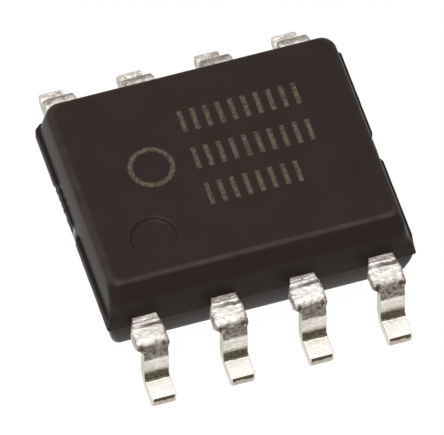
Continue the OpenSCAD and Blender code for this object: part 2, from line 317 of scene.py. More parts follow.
bevel_low = TOP_Z - BEVEL
draft_at_bevel = DRAFT * (bevel_low - STRIP_TOP_Z) / (TOP_Z - STRIP_TOP_Z)
middle = (STRIP_TOP_Z + TOP_Z) / 2
# Each corner's last number is its pale edge value, a painted highlight on its crown.
upper_front = softened([
    (BAND_DRAFT, STRIP_TOP_Z), (draft_at_bevel, bevel_low, 0.085, 0.25),
    (DRAFT + BEVEL, TOP_Z, 0.060, 1.0), (DRAFT + BEVEL + TOP_RUN, TOP_Z)])
upper_left = softened([
    (0, STRIP_TOP_Z), (LEFT_WAIST, middle, 0.10, 0.15), (DRAFT, TOP_Z, 0.12, 0.8),
    (DRAFT + TOP_RUN, TOP_Z)])
upper_right = softened([
    (0, STRIP_TOP_Z), (RIGHT_WAIST, middle, 0.10, 0.15), (RIGHT_DRAFT, TOP_Z, 0.09, 0.35),
    (RIGHT_DRAFT + TOP_RUN, TOP_Z)])
upper_back = softened([
    (BAND_DRAFT, STRIP_TOP_Z), (BACK_DRAFT / 2, middle, 0.045, 0.1), (BACK_DRAFT, TOP_Z, 0.05, 1.0),
    (BACK_DRAFT + TOP_RUN, TOP_Z)])
# The lower wall's edge value grows towards the bottom: a painted highlight that makes it paler there.
lower_wall = softened([
    (0, STRIP_BOTTOM_Z), (0.018, 0.50, 0.11, 0.45), (0.060, 0.29, 0.08, 0.8), (0.095, BASE_Z, 0.035, 1.0),
    (0.25, BASE_Z)])

rings = []
for front, left, back, right in reversed(list(zip(upper_front, upper_left, upper_back, upper_right))):
    rise = (front[1] - STRIP_TOP_Z) / (TOP_Z - STRIP_TOP_Z)
    front_corner = PARTING_CORNER + (BEVEL_CORNER - PARTING_CORNER) * min(1.0, 4.0 * rise)
    rings.append(ring(front, left, back, right, front_corner, BACK_CORNER))
for z in (STRIP_TOP_Z, STRIP_TOP_Z - 0.01, STRIP_BOTTOM_Z + 0.01, STRIP_BOTTOM_Z):
    flush = np.array((0.0, z, 0.0))
    drafted = np.array((BAND_DRAFT * (z - STRIP_BOTTOM_Z) / STRIP, z, 0.0))
    soft = 0.92 if z in (STRIP_TOP_Z, STRIP_BOTTOM_Z) else 1.0
    rings.append(ring(drafted, flush, drafted, flush, PARTING_CORNER, BACK_LOW_CORNER, FLANGE_OUT * soft))
for low in lower_wall:
    sunk = (STRIP_BOTTOM_Z - low[1]) / (STRIP_BOTTOM_Z - BASE_Z)
    front_corner = PARTING_CORNER + (LOWER_CORNER - PARTING_CORNER) * min(1.0, 1.5 * sunk)
    rings.append(ring(low, low, low, low, front_corner, BACK_LOW_CORNER))

work = bmesh.new()
edge_highlight_layer = work.verts.layers.float.new("edge_wear")


def corner_at_place(x, y, z, wear_and_painted_light):
    """A new corner of the body's mesh, in millimetres, that carries its painted edge highlight."""
    made = work.verts.new(Vector((x, y, z)) * MM)
    made[edge_highlight_layer] = wear_and_painted_light
    return made


turns = [[corner_at_place(*row) for row in rows] for rows in rings]
for upper, lower in zip(turns, turns[1:]):
    for i in range(len(upper)):
        j = (i + 1) % len(upper)
        work.faces.new((lower[i], lower[j], upper[j], upper[i]))

# The dimple: a rounded rim, a steep wall and a nearly flat floor, as (radius, height), with a little
# painted highlight on the rim.
dimple_profile = softened([
    (DIMPLE_R + 0.05, TOP_Z), (DIMPLE_R, TOP_Z, 0.022, 0.3),
    (DIMPLE_R - 0.055, TOP_Z - DIMPLE_DEPTH, 0.03, 0.0), (0.10, TOP_Z - DIMPLE_DEPTH - DIMPLE_DISH)])
circles = []
for radius, z, wear_and_painted_light in dimple_profile:
    circle = []
    for k in range(DIMPLE_STEPS):
        a = 2 * math.pi * k / DIMPLE_STEPS
        circle.append(corner_at_place(
            DIMPLE_X + radius * math.cos(a), DIMPLE_Y + radius * math.sin(a), z, wear_and_painted_light))
    circles.append(circle)
for outer, inner in zip(circles, circles[1:]):
    for i in range(DIMPLE_STEPS):
        j = (i + 1) % DIMPLE_STEPS
        work.faces.new((outer[i], outer[j], inner[j], inner[i]))
work.faces.new(circles[-1])
work.faces.new(list(reversed(turns[-1])))
work.edges.ensure_lookup_table()
rim = [e for e in work.edges if e.is_boundary]
bmesh.ops.triangle_fill(work, use_beauty=True, use_dissolve=False, edges=rim)
bmesh.ops.remove_doubles(work, verts=work.verts, dist=1e-8)
bmesh.ops.recalc_face_normals(work, faces=work.faces)
mesh = bpy.data.meshes.new("moulded_body")
work.to_mesh(mesh)
work.free()
mesh.shade_smooth()
mesh.set_sharp_from_angle(angle=math.radians(38))

# Black moulding compound from a spark-eroded mould: a fine even grain, faint clouds, and
# a paler grey on the edges in patches, which is wear and also a painted highlight on the
# crowns of the edges and towards the bottom of the lower wall. The laser marks are plain:
# a ring and three rows of equal strokes, burnt in dots a little paler and duller than the resin.
GRAIN, CLOUD, WEAR_PATCH, DOT = 0.030, 0.75, 0.30, 0.045
RING_X, RING_Y, RING_R, LINE_W = -1.10, 0.29, 0.33, 0.072
STROKE_H, STROKE_PITCH = 0.40, 0.205
ROW_FROM_X = -0.39
ROWS = ((0.965, 10), (0.257, 10), (-0.43, 8))
resin, tree, place = new_material("moulded_black_epoxy")
grain = add(tree, "ShaderNodeTexNoise", None, {"Vector": place, "Scale": 1 / GRAIN, "Detail": 3.0})
cloud = add(tree, "ShaderNodeTexNoise", None, {"Vector": place, "Scale": 1 / CLOUD, "Detail": 4.0})
black = add(tree, "ShaderNodeMix", "RGBA", {0: cloud, 6: linear("#231c1a"), 7: linear("#2c2624")})

# Painted edge highlight, with wear: where the edge attribute and a patchy noise agree.
patch = add(tree, "ShaderNodeTexNoise", None, {"Vector": place, "Scale": 1 / WEAR_PATCH, "Detail": 3.0})
patchy = add(tree, "ShaderNodeMapRange", None, {
    "Value": patch, "From Min": 0.30, "From Max": 0.75, "To Min": 0.25, "To Max": 0.8})
edge = add(tree, "ShaderNodeAttribute", "edge_wear")
wear_and_painted_light = add(tree, "ShaderNodeMath", "MULTIPLY", [edge.outputs["Fac"], patchy])
black_with_painted_edge_highlight = add(tree, "ShaderNodeMix", "RGBA", {0: wear_and_painted_light, 6: black, 7: linear("#47403b")})

# Marks: the distance to the nearest line of the ring or of the strokes, on the top face only.
spot = add(tree, "ShaderNodeSeparateXYZ", None, [place])
from_ring = add(tree, "ShaderNodeVectorMath", "DISTANCE", [
    add(tree, "ShaderNodeCombineXYZ", None, {"X": spot.outputs["X"], "Y": spot.outputs["Y"]}),
    (RING_X, RING_Y, 0)])
off_line = add(tree, "ShaderNodeMath", "ABSOLUTE", [
    add(tree, "ShaderNodeMath", "SUBTRACT", [from_ring, RING_R])])
nearest_stroke = add(tree, "ShaderNodeMath", "PINGPONG", [
    add(tree, "ShaderNodeMath", "SUBTRACT", [spot.outputs["X"], ROW_FROM_X]), STROKE_PITCH / 2])
for row_y, strokes in ROWS:
    row_l = (strokes - 1) * STROKE_PITCH
    off_row = add(tree, "ShaderNodeVectorMath", "ABSOLUTE", [
        add(tree, "ShaderNodeVectorMath", "SUBTRACT", [place, (ROW_FROM_X + row_l / 2, row_y, TOP_Z)])])
    beyond_row = add(tree, "ShaderNodeVectorMath", "SUBTRACT", [
        off_row, ((row_l + LINE_W) / 2, STROKE_H / 2, 0)])
    beyond_row = add(tree, "ShaderNodeSeparateXYZ", None, [beyond_row])
    past_end = add(tree, "ShaderNodeMath", "MAXIMUM", [
        beyond_row.outputs["X"], beyond_row.outputs["Y"]])
    past_end = add(tree, "ShaderNodeMath", "MULTIPLY_ADD", [past_end, 3.0, LINE_W / 2])
    off_stroke = add(tree, "ShaderNodeMath", "MAXIMUM", [nearest_stroke, past_end])
    off_line = add(tree, "ShaderNodeMath", "MINIMUM", [off_line, off_stroke])
burnt = add(tree, "ShaderNodeMapRange", "SMOOTHSTEP", {
    "Value": off_line, "From Min": LINE_W * 0.75, "From Max": LINE_W * 0.25})
on_top = add(tree, "ShaderNodeMath", "GREATER_THAN", [spot.outputs["Z"], TOP_Z - 0.003])
dots = add(tree, "ShaderNodeTexNoise", None, {"Vector": place, "Scale": 1 / DOT, "Detail": 2.0})
dotted = add(tree, "ShaderNodeMapRange", None, {
    "Value": dots, "From Min": 0.32, "From Max": 0.60, "To Min": 0.25, "To Max": 1.0})
marked = add(tree, "ShaderNodeMath", "MULTIPLY", [
    add(tree, "ShaderNodeMath", "MULTIPLY", [burnt, on_top]), dotted])
tone = add(tree, "ShaderNodeMix", "RGBA", {0: marked, 6: black_with_painted_edge_highlight, 7: linear("#5c5445")})

relief = add(tree, "ShaderNodeBump", None, {"Height": grain, "Strength": 0.35, "Distance": 0.006 * MM})
on_flange = add(tree, "ShaderNodeMath", "GREATER_THAN", [
    add(tree, "ShaderNodeMath", "ABSOLUTE", [spot.outputs["X"]]), BODY_L / 2 + 0.002])
gloss = add(tree, "ShaderNodeMapRange", None, {"Value": cloud, "To Min": 0.30, "To Max": 0.38})
duller = add(tree, "ShaderNodeMath", "MAXIMUM", [
    gloss, add(tree, "ShaderNodeMath", "MULTIPLY", [on_flange, 0.50])])
surface(tree, {
    "Base Color": tone, "Roughness": duller, "IOR": 1.20,
    "Specular Tint": linear("#fff0e0"), "Normal": relief})

body = shown_piece("moulded_body", mesh, resin)
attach(body, "root")
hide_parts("body")


# ---------------------------------------------------------------------------
# Leads: copper strip punched to its outline, moulded in, tin-plated, cut from the dam bar
# that joined them and bent twice. The cut leaves a wide shoulder with rolled edges, and
# the forming tool scuffs the bends. The toes are cut after plating and show bare copper.
# ---------------------------------------------------------------------------
LEAD_W, SHOULDER_W = 0.40, 0.55
PITCH = 1.27
START_Y, EXIT_Y, FLARE_Y, FOOT_L = 1.92, 1.95, 2.16, 0.31
FRONT_SHOULDER_Y, FRONT_TOE_Y, FRONT_SHIFT = 2.313, 3.00, 0.02
BACK_SHOULDER_Y, BACK_TOE_Y, BACK_SHIFT = 2.200, 2.92, -0.05
SHOULDER_R, HEEL_R, WIDE_TURN = 0.08, 0.08, 50.0
EDGE, ROLLED_EDGE, FRONT_TOE_CORNER, BACK_TOE_CORNER = 0.016, 0.052, 0.030, 0.012
DENT, GROOVE, PIT, PIT_R = 0.040, 0.012, 0.030, 0.040
BACK_HANDLED = 0.85

strip_z = STRIP_TOP_Z - STRIP / 2
foot_z = STRIP / 2
shoulder_bend, heel_bend = SHOULDER_R + STRIP / 2, HEEL_R + STRIP / 2


def formed(shoulder_y, toe_y):
    """Where the strip's middle runs for one row, and the stations of its parts, in millimetres."""
    heel_y = toe_y - FOOT_L
    drop = strip_z - foot_z
    angle = math.radians(85)
    for _ in range(20):  # closes in on the angle of the leg
        reach = (shoulder_bend + heel_bend) * math.tan(angle / 2)
        angle = math.atan2(drop, heel_y - shoulder_y - reach)
    half_turn = math.tan(angle / 2)
    leg_l = drop / math.sin(angle) - (shoulder_bend + heel_bend) * half_turn
    bend_from = shoulder_y - START_Y
    return {
        "Shoulder corner": (0, shoulder_y + shoulder_bend * half_turn, strip_z),
        "Heel corner": (0, heel_y - heel_bend * half_turn, foot_z),
        "Toe": (0, toe_y, foot_z),
        "Wide end": bend_from + shoulder_bend * math.radians(WIDE_TURN),
        "Heel start": bend_from + shoulder_bend * angle + leg_l}


front_row = {
    **formed(FRONT_SHOULDER_Y, FRONT_TOE_Y), "Shoulder shift": FRONT_SHIFT,
    "Toe corner radius": FRONT_TOE_CORNER, "Handled all over": 0.0, "Pitted": 1.0}
back_row = {
    **formed(BACK_SHOULDER_Y, BACK_TOE_Y), "Shoulder shift": BACK_SHIFT,
    "Toe corner radius": BACK_TOE_CORNER, "Handled all over": BACK_HANDLED, "Pitted": 0.0}
NOT_LENGTHS = ("Handled all over", "Pitted", "Turn", "Seed")

blank = bpy.data.node_groups.new("gull_wing_lead", "GeometryNodeTree")
sizes = {}
for label, value in {
        "Strip thickness": STRIP, "Lead width": LEAD_W, "Shoulder width": SHOULDER_W,
        "Start": (0, START_Y, strip_z), "Shoulder bend radius": shoulder_bend,
        "Heel bend radius": heel_bend, "Flare start": EXIT_Y - START_Y, "Flare end": FLARE_Y - START_Y,
        "Edge radius": EDGE, "Rolled edge radius": ROLLED_EDGE, "Dent depth": DENT,
        "Groove depth": GROOVE, "Pit depth": PIT, **front_row,
        "Place": (0, 0, 0), "Turn": 0.0, "Seed": 0.0}.items():
    kind = "Vector" if isinstance(value, tuple) else "Float"
    sizes[label] = blank.interface.new_socket(label, in_out="INPUT", socket_type=f"NodeSocket{kind}")
    sizes[label].default_value = value
for label in ("Plating", "Cut copper"):
    sizes[label] = blank.interface.new_socket(label, in_out="INPUT", socket_type="NodeSocketMaterial")
blank.interface.new_socket("Lead", in_out="OUTPUT", socket_type="NodeSocketGeometry")
given = add(blank, "NodeGroupInput").outputs

# The path down the middle of the strip: a line of four points, with both bends rounded.
line = add(blank, "GeometryNodeMeshLine", None, {"Count": 4})
index = add(blank, "GeometryNodeInputIndex")
corner_at = add(blank, "GeometryNodeIndexSwitch", {"data_type": "VECTOR"})
bend_at = add(blank, "GeometryNodeIndexSwitch", {"data_type": "FLOAT"})
for switch in (corner_at, bend_at):
    switch.index_switch_items.new()
    switch.index_switch_items.new()
    blank.links.new(index.outputs[0], switch.inputs[0])
for slot_number, label in enumerate(("Start", "Shoulder corner", "Heel corner", "Toe"), 1):
    blank.links.new(given[label], corner_at.inputs[slot_number])
blank.links.new(given["Shoulder bend radius"], bend_at.inputs[2])
blank.links.new(given["Heel bend radius"], bend_at.inputs[3])
placed = add(blank, "GeometryNodeSetPosition", None, {0: line, "Position": corner_at})
path = add(blank, "GeometryNodeMeshToCurve", None, [placed])
bent = add(blank, "GeometryNodeFilletCurve", {"mode": "POLY"}, {
    0: path, "Count": 16, "Radius": bend_at})
length = add(blank, "GeometryNodeCurveLength", None, [bent])

# The blank: a block two units wide and thick, whose length is spread along the path.
STATIONS, WIDTH_POINTS, EDGE_POINTS = 210, 35, 9
block = add(blank, "GeometryNodeMeshCube", None, {
    "Size": (2.0, 1.0, 2.0), "Vertices X": WIDTH_POINTS, "Vertices Y": STATIONS,
    "Vertices Z": EDGE_POINTS})
at = add(blank, "ShaderNodeSeparateXYZ", None, [add(blank, "GeometryNodeInputPosition")])
share = add(blank, "ShaderNodeMath", "ADD", [at.outputs["Y"], 0.5])
along = add(blank, "ShaderNodeMath", "MULTIPLY", [share, length])
upper = add(blank, "ShaderNodeMath", "GREATER_THAN", [at.outputs["Z"], 0.0])

# How wide the lead is along its length: 0 where it is narrow, 1 at the shoulder. The toe's
# two corners are rounded.
flare = add(blank, "ShaderNodeMapRange", None, {
    "Value": along, "From Min": given["Flare start"], "From Max": given["Flare end"]})
trim_from = add(blank, "ShaderNodeMath", "SUBTRACT", [given["Wide end"], 0.04 * MM])
trim_to = add(blank, "ShaderNodeMath", "ADD", [given["Wide end"], 0.03 * MM])
trim = add(blank, "ShaderNodeMapRange", "SMOOTHSTEP", {
    "Value": along, "From Min": trim_from, "From Max": trim_to})
wide = add(blank, "ShaderNodeMath", "SUBTRACT", [flare, trim])
width = add(blank, "ShaderNodeMix", None, {0: wide, 2: given["Lead width"], 3: given["Shoulder width"]})
corner_from = add(blank, "ShaderNodeMath", "SUBTRACT", [length, given["Toe corner radius"]])
near_toe = add(blank, "ShaderNodeMapRange", None, {
    "Value": along, "From Min": corner_from, "From Max": length})
toe_squared = add(blank, "ShaderNodeMath", "MULTIPLY", [near_toe, near_toe])
toe_curve = add(blank, "ShaderNodeMath", "SQRT", [
    add(blank, "ShaderNodeMath", "SUBTRACT", [1.0, toe_squared])])
toe_cut = add(blank, "ShaderNodeMath", "MULTIPLY", [
    add(blank, "ShaderNodeMath", "SUBTRACT", [1.0, toe_curve]), given["Toe corner radius"]])
half_w = add(blank, "ShaderNodeMath", "MULTIPLY_ADD", [
    width, 0.5, add(blank, "ShaderNodeMath", "MULTIPLY", [toe_cut, -1.0])])
half_t = add(blank, "ShaderNodeMath", "MULTIPLY", [given["Strip thickness"], 0.5])

# The section: points crowd towards the edges, and the edges are rounded, the two on the
# outer face more than the others, most of all where the dam bar was cut off.
edge_x = add(blank, "ShaderNodeMath", "SINE", [
    add(blank, "ShaderNodeMath", "MULTIPLY", [at.outputs["X"], math.pi / 2])])
edge_z = add(blank, "ShaderNodeMath", "SINE", [
    add(blank, "ShaderNodeMath", "MULTIPLY", [at.outputs["Z"], math.pi / 2])])
flat = add(blank, "ShaderNodeCombineXYZ", None, {
    "X": add(blank, "ShaderNodeMath", "MULTIPLY", [edge_x, half_w]),
    "Z": add(blank, "ShaderNodeMath", "MULTIPLY", [edge_z, half_t])})
rolled = add(blank, "ShaderNodeMath", "MULTIPLY", [wide, upper])
radius = add(blank, "ShaderNodeMix", None, {
    0: rolled, 2: given["Edge radius"], 3: given["Rolled edge radius"]})
core = add(blank, "ShaderNodeCombineXYZ", None, {
    "X": add(blank, "ShaderNodeMath", "SUBTRACT", [half_w, radius]),
    "Z": add(blank, "ShaderNodeMath", "SUBTRACT", [half_t, radius])})
core_low = add(blank, "ShaderNodeVectorMath", "SCALE", {0: core, "Scale": -1.0})
inside = add(blank, "ShaderNodeVectorMath", "MAXIMUM", [
    core_low, add(blank, "ShaderNodeVectorMath", "MINIMUM", [core, flat])])
beyond = add(blank, "ShaderNodeVectorMath", "SUBTRACT", [flat, inside])
reach = add(blank, "ShaderNodeSeparateXYZ", None, [
    add(blank, "ShaderNodeVectorMath", "ABSOLUTE", [beyond])])
squared = add(blank, "ShaderNodeMath", "MAXIMUM", [reach.outputs["X"], reach.outputs["Z"]])
true_reach = add(blank, "ShaderNodeVectorMath", "LENGTH", [beyond])
round_off = add(blank, "ShaderNodeMath", "DIVIDE", [squared, true_reach])
rounded = add(blank, "ShaderNodeVectorMath", "ADD", [
    inside, add(blank, "ShaderNodeVectorMath", "SCALE", {0: beyond, "Scale": round_off})])
section = add(blank, "ShaderNodeSeparateXYZ", None, [rounded]).outputs

# Marks of the tools, in millimetres across and along the strip. Each wanders a little.
in_mm = add(blank, "ShaderNodeVectorMath", "SCALE", {
    0: add(blank, "ShaderNodeCombineXYZ", None, {
        "X": section["X"], "Y": along, "Z": section["Z"]}),
    "Scale": 1 / MM})
wander = add(blank, "ShaderNodeTexNoise", "4D", {
    "Vector": in_mm, "W": given["Seed"], "Scale": 5.0, "Detail": 3.0, "Roughness": 0.6})
drift = add(blank, "ShaderNodeMath", "MULTIPLY_ADD", [wander, 0.08, -0.04])
on_strip = add(blank, "ShaderNodeSeparateXYZ", None, [in_mm]).outputs


def stations_past(label):
    """How far along the strip each point lies past a named station, in millimetres."""
    gap = add(blank, "ShaderNodeMath", "SUBTRACT", [along, given[label]])
    return add(blank, "ShaderNodeMath", "MULTIPLY_ADD", [gap, 1 / MM, drift])


def zone_between(past, start, stop, soft_start, soft_stop):
    """1 between two stations of the strip, fading to 0 over a length at either end."""
    begun = add(blank, "ShaderNodeMapRange", "SMOOTHSTEP", {
        "Value": past, "From Min": start - soft_start / 2, "From Max": start + soft_start / 2})
    ended = add(blank, "ShaderNodeMapRange", "SMOOTHSTEP", {
        "Value": past, "From Min": stop + soft_stop / 2, "From Max": stop - soft_stop / 2})
    return add(blank, "ShaderNodeMath", "MULTIPLY", [begun, ended])


past_exit = stations_past("Flare start")
past_wide = stations_past("Wide end")
past_leg = stations_past("Heel start")

# Two lines pressed across the strip outside the resin, and a pit in each of the shoulder's
# lower corners, where the punch that cut the dam bar ended. Both are sunk, and also darkened in colour as
# painted shade.
exit_line = add(blank, "ShaderNodeMath", "MULTIPLY", [
    zone_between(past_exit, 0.055, 0.065, 0.025, 0.025), 0.45])
crease_share = add(blank, "ShaderNodeMapRange", "SMOOTHSTEP", {
    "Value": on_strip["X"], "From Min": 0.16, "From Max": -0.02, "To Min": 0.35, "To Max": 1.0})
crease = add(blank, "ShaderNodeMath", "MULTIPLY", [
    zone_between(past_exit, 0.115, 0.180, 0.030, 0.040), crease_share])
lines = add(blank, "ShaderNodeMath", "MAXIMUM", [exit_line, crease])
from_side = add(blank, "ShaderNodeMath", "SUBTRACT", [
    add(blank, "ShaderNodeMath", "ABSOLUTE", [on_strip["X"]]), LEAD_W / 2 - 0.01])
from_end = add(blank, "ShaderNodeMath", "ADD", [past_wide, 0.035])
from_pit = add(blank, "ShaderNodeVectorMath", "LENGTH", [
    add(blank, "ShaderNodeCombineXYZ", None, {"X": from_side, "Y": from_end})])
pits = add(blank, "ShaderNodeMapRange", "SMOOTHSTEP", {
    "Value": from_pit, "From Min": PIT_R, "From Max": PIT_R * 0.3, "To Max": given["Pitted"]})

# The forming tool rubs the bends: the shoulder's lower half, and the heel with the leg above
# it, where the darkening is also painted shade in the heel's hollow. The back row has smears in place of
# pits.
shoulder_rub = zone_between(past_wide, -0.085, 0.12, 0.13, 0.05)
# Painted shade: the heel's hollow and the leg just above it are darkened along with the scuffs.
above_heel_scuff_and_shade = zone_between(past_leg, -0.125, 0.22, 0.11, 0.03)
heel_scuff_and_shade = zone_between(past_leg, -0.07, 0.22, 0.05, 0.03)
scuffs_and_heel_shade = add(blank, "ShaderNodeMath", "MAXIMUM", [
    add(blank, "ShaderNodeMath", "MULTIPLY", [shoulder_rub, 0.80]),
    add(blank, "ShaderNodeMath", "MULTIPLY_ADD", [
        above_heel_scuff_and_shade, 0.55, add(blank, "ShaderNodeMath", "MULTIPLY", [
            heel_scuff_and_shade, 0.45])])])
smears = add(blank, "ShaderNodeTexNoise", "4D", {
    "Vector": in_mm, "W": given["Seed"], "Scale": 7.0, "Detail": 2.0, "Distortion": 0.6})
smeared = add(blank, "ShaderNodeMapRange", "SMOOTHSTEP", {
    "Value": smears, "From Min": 0.55, "From Max": 0.66, "To Max": given["Handled all over"]})
marks_shade_and_smears = add(blank, "ShaderNodeMath", "MAXIMUM", [
    add(blank, "ShaderNodeMath", "MAXIMUM", [lines, pits]),
    add(blank, "ShaderNodeMath", "MULTIPLY", [smeared, 0.7])])
off_middle = add(blank, "ShaderNodeMath", "ABSOLUTE", [at.outputs["X"]])
punched = add(blank, "ShaderNodeMath", "GREATER_THAN", [off_middle, 0.9])

# Handling greys the tin most beside the resin, and greys the back row all over. The grey on
# the rolled edges of the shoulder is painted shade.
beside_resin = zone_between(past_exit, -1.0, 0.12, 0.02, 0.20)
on_shoulder = zone_between(past_wide, -1.0, 0.02, 0.02, 0.12)
by_edge = add(blank, "ShaderNodeMapRange", "SMOOTHSTEP", {
    "Value": off_middle, "From Min": 0.45, "From Max": 0.80, "To Min": 0.52, "To Max": 1.0})
# Painted shade: the rolled edges of the shoulder take the grey film.
rolled_edge_shade = add(blank, "ShaderNodeMath", "MULTIPLY", [on_shoulder, by_edge])
zones = add(blank, "ShaderNodeMath", "MAXIMUM", [beside_resin, rolled_edge_shade])
on_leg = add(blank, "ShaderNodeMath", "MULTIPLY", [zone_between(past_leg, -2.0, 0.05, 0.02, 0.10), 0.35])
least = add(blank, "ShaderNodeMath", "MAXIMUM", [on_leg, given["Handled all over"]])
handled = add(blank, "ShaderNodeMath", "MAXIMUM", [zones, least])

# All marks are on the outer face. The dents are deepest on the shoulder.
outer = add(blank, "ShaderNodeMapRange", None, {
    "Value": at.outputs["Z"], "From Min": 0.5, "From Max": 1.0})
coarse = add(blank, "ShaderNodeTexNoise", "4D", {
    "Vector": in_mm, "W": given["Seed"], "Scale": 9.0, "Detail": 4.0, "Roughness": 0.65})
dent = add(blank, "ShaderNodeMath", "SUBTRACT", [coarse, 0.66])
dent_share = add(blank, "ShaderNodeMapRange", None, {"Value": wide, "To Min": 0.15, "To Max": 1.0})
dents = add(blank, "ShaderNodeMath", "MULTIPLY", [
    add(blank, "ShaderNodeMath", "MULTIPLY", [dent, dent_share]), given["Dent depth"]])
sunk_lines = add(blank, "ShaderNodeMath", "MULTIPLY", [lines, given["Groove depth"]])
sunk_pits = add(blank, "ShaderNodeMath", "MULTIPLY", [pits, given["Pit depth"]])
sunk = add(blank, "ShaderNodeMath", "ADD", [sunk_lines, sunk_pits])
raised = add(blank, "ShaderNodeMath", "SUBTRACT", [dents, sunk])
relief = add(blank, "ShaderNodeMath", "MULTIPLY", [raised, outer])
height = add(blank, "ShaderNodeMath", "ADD", [section["Z"], relief])

# Bends the blank over the path, then turns it to its row and moves it to its place.
here = add(blank, "GeometryNodeSampleCurve", {"mode": "LENGTH"}, {0: bent, "Length": along})
out = add(blank, "ShaderNodeVectorMath", "CROSS_PRODUCT", [(1.0, 0.0, 0.0), here.outputs["Tangent"]])
lifted = add(blank, "ShaderNodeVectorMath", "SCALE", {0: out, "Scale": height})
ragged = add(blank, "ShaderNodeMath", "MULTIPLY_ADD", [dents, 1.2, half_w])
rough_x = add(blank, "ShaderNodeMath", "MULTIPLY", [
    section["X"], add(blank, "ShaderNodeMath", "DIVIDE", [ragged, half_w])])
sideways = add(blank, "ShaderNodeMath", "MULTIPLY_ADD", [wide, given["Shoulder shift"], rough_x])
across = add(blank, "ShaderNodeCombineXYZ", None, {"X": sideways})
on_path = add(blank, "ShaderNodeVectorMath", "ADD", [here.outputs["Position"], lifted])
final = add(blank, "ShaderNodeVectorMath", "ADD", [on_path, across])
shape = add(blank, "GeometryNodeStoreNamedAttribute", "FLOAT_VECTOR", {
    0: block, "Name": "strip_place", "Value": in_mm})
shape = add(blank, "GeometryNodeStoreNamedAttribute", "FLOAT_VECTOR", {
    0: shape, "Name": "tool_wear", "Value": add(blank, "ShaderNodeCombineXYZ", None, {
        "X": add(blank, "ShaderNodeMath", "MULTIPLY", [scuffs_and_heel_shade, outer]),
        "Y": add(blank, "ShaderNodeMath", "MULTIPLY", [marks_shade_and_smears, outer]),
        "Z": punched})})
shape = add(blank, "GeometryNodeStoreNamedAttribute", "FLOAT", {
    0: shape, "Name": "handled", "Value": handled})
shape = add(blank, "GeometryNodeSetMaterial", None, {0: shape, "Material": given["Plating"]})
toe_face = add(blank, "ShaderNodeMath", "GREATER_THAN", [share, 0.9999])
shape = add(blank, "GeometryNodeSetMaterial", None, {
    0: shape, "Selection": toe_face, "Material": given["Cut copper"]})
shape = add(blank, "GeometryNodeSetPosition", None, {0: shape, "Position": final})
shape = add(blank, "GeometryNodeTransform", None, {
    0: shape, "Translation": given["Place"], "Rotation": add(blank, "ShaderNodeCombineXYZ", None, {
        "Z": given["Turn"]})})
shape = add(blank, "GeometryNodeRealizeInstances", None, [shape])
add(blank, "NodeGroupOutput", None, [shape])

# Matte tin: electroplated, so pale and fine-grained. Handling leaves a grey film in blotches
# with brown specks, and the same film on the shoulder's rolled edges is painted shade. Where the
# tool rubbed it, the tin is smeared thin and has tarnished in dark flecks, and the darker heel is
# also painted shade. The pressed lines and pits are darkened with painted shade.
TIN_GRAIN, FLECK, BLOTCH = 0.035, 0.030, 0.11
tin, tree, place = new_material("matte_tin_plate")
wear_and_painted_light = add(tree, "ShaderNodeSeparateXYZ", None, [
    add(tree, "ShaderNodeAttribute", "tool_wear").outputs["Vector"]])
strip_place = add(tree, "ShaderNodeAttribute", "strip_place").outputs["Vector"]
grains = add(tree, "ShaderNodeTexNoise", None, {"Vector": place, "Scale": 1 / TIN_GRAIN, "Detail": 4.0})
streaked = add(tree, "ShaderNodeMapping", None, {"Vector": strip_place, "Scale": (0.45, 1.0, 1.0)})
on_lead = add(tree, "ShaderNodeVectorMath", "ADD", [
    streaked, add(tree, "ShaderNodeVectorMath", "SNAP", [place, (PITCH, PITCH, PITCH)])])
flecks = add(tree, "ShaderNodeTexNoise", None, {
    "Vector": on_lead, "Scale": 1 / FLECK, "Detail": 3.0, "Roughness": 0.65})
handled = add(tree, "ShaderNodeAttribute", "handled").outputs["Fac"]
blotches = add(tree, "ShaderNodeTexNoise", None, {
    "Vector": on_lead, "Scale": 1 / BLOTCH, "Detail": 4.0, "Roughness": 0.65})
clean = add(tree, "ShaderNodeMix", "RGBA", {0: grains, 6: linear("#f8f2e8"), 7: linear("#fffdf7")})
film = add(tree, "ShaderNodeMix", "RGBA", {0: flecks, 6: linear("#7c6f6b"), 7: linear("#c8bbb2")})
film_share = add(tree, "ShaderNodeMapRange", "SMOOTHSTEP", {
    "Value": blotches, "From Min": 0.62, "From Max": 0.40, "To Min": 0.10, "To Max": 0.95})
side_tone = add(tree, "ShaderNodeMix", "RGBA", {0: flecks, 6: linear("#c3c4ac"), 7: linear("#f6f7ea")})
side_or_face = add(tree, "ShaderNodeMix", "RGBA", {0: wear_and_painted_light.outputs["Z"], 6: clean, 7: side_tone})
filmed = add(tree, "ShaderNodeMix", "RGBA", {
    0: add(tree, "ShaderNodeMath", "MULTIPLY", [handled, film_share]), 6: side_or_face, 7: film})
speck_share = add(tree, "ShaderNodeMapRange", "SMOOTHSTEP", {
    "Value": flecks, "From Min": 0.43, "From Max": 0.36, "To Max": 0.90})
specked = add(tree, "ShaderNodeMix", "RGBA", {
    0: add(tree, "ShaderNodeMath", "MULTIPLY", [handled, speck_share]), 6: filmed, 7: linear("#6e5f4a")})
# The dark tarnish colour also carries the painted shade of the heel.
tarnish_and_heel_shade = add(tree, "ShaderNodeMix", "RGBA", {0: flecks, 6: linear("#20180e"), 7: linear("#7b7156")})
fleck_share = add(tree, "ShaderNodeMapRange", None, {
    "Value": flecks, "From Min": 0.30, "From Max": 0.62, "To Min": 1.30, "To Max": 0.85})
scuff_and_shade_share = add(tree, "ShaderNodeMath", {"operation": "MULTIPLY", "use_clamp": True}, [
    wear_and_painted_light.outputs["X"], fleck_share])
scuff_and_shade_tone = add(tree, "ShaderNodeMix", "RGBA", {0: scuff_and_shade_share, 6: specked, 7: tarnish_and_heel_shade})
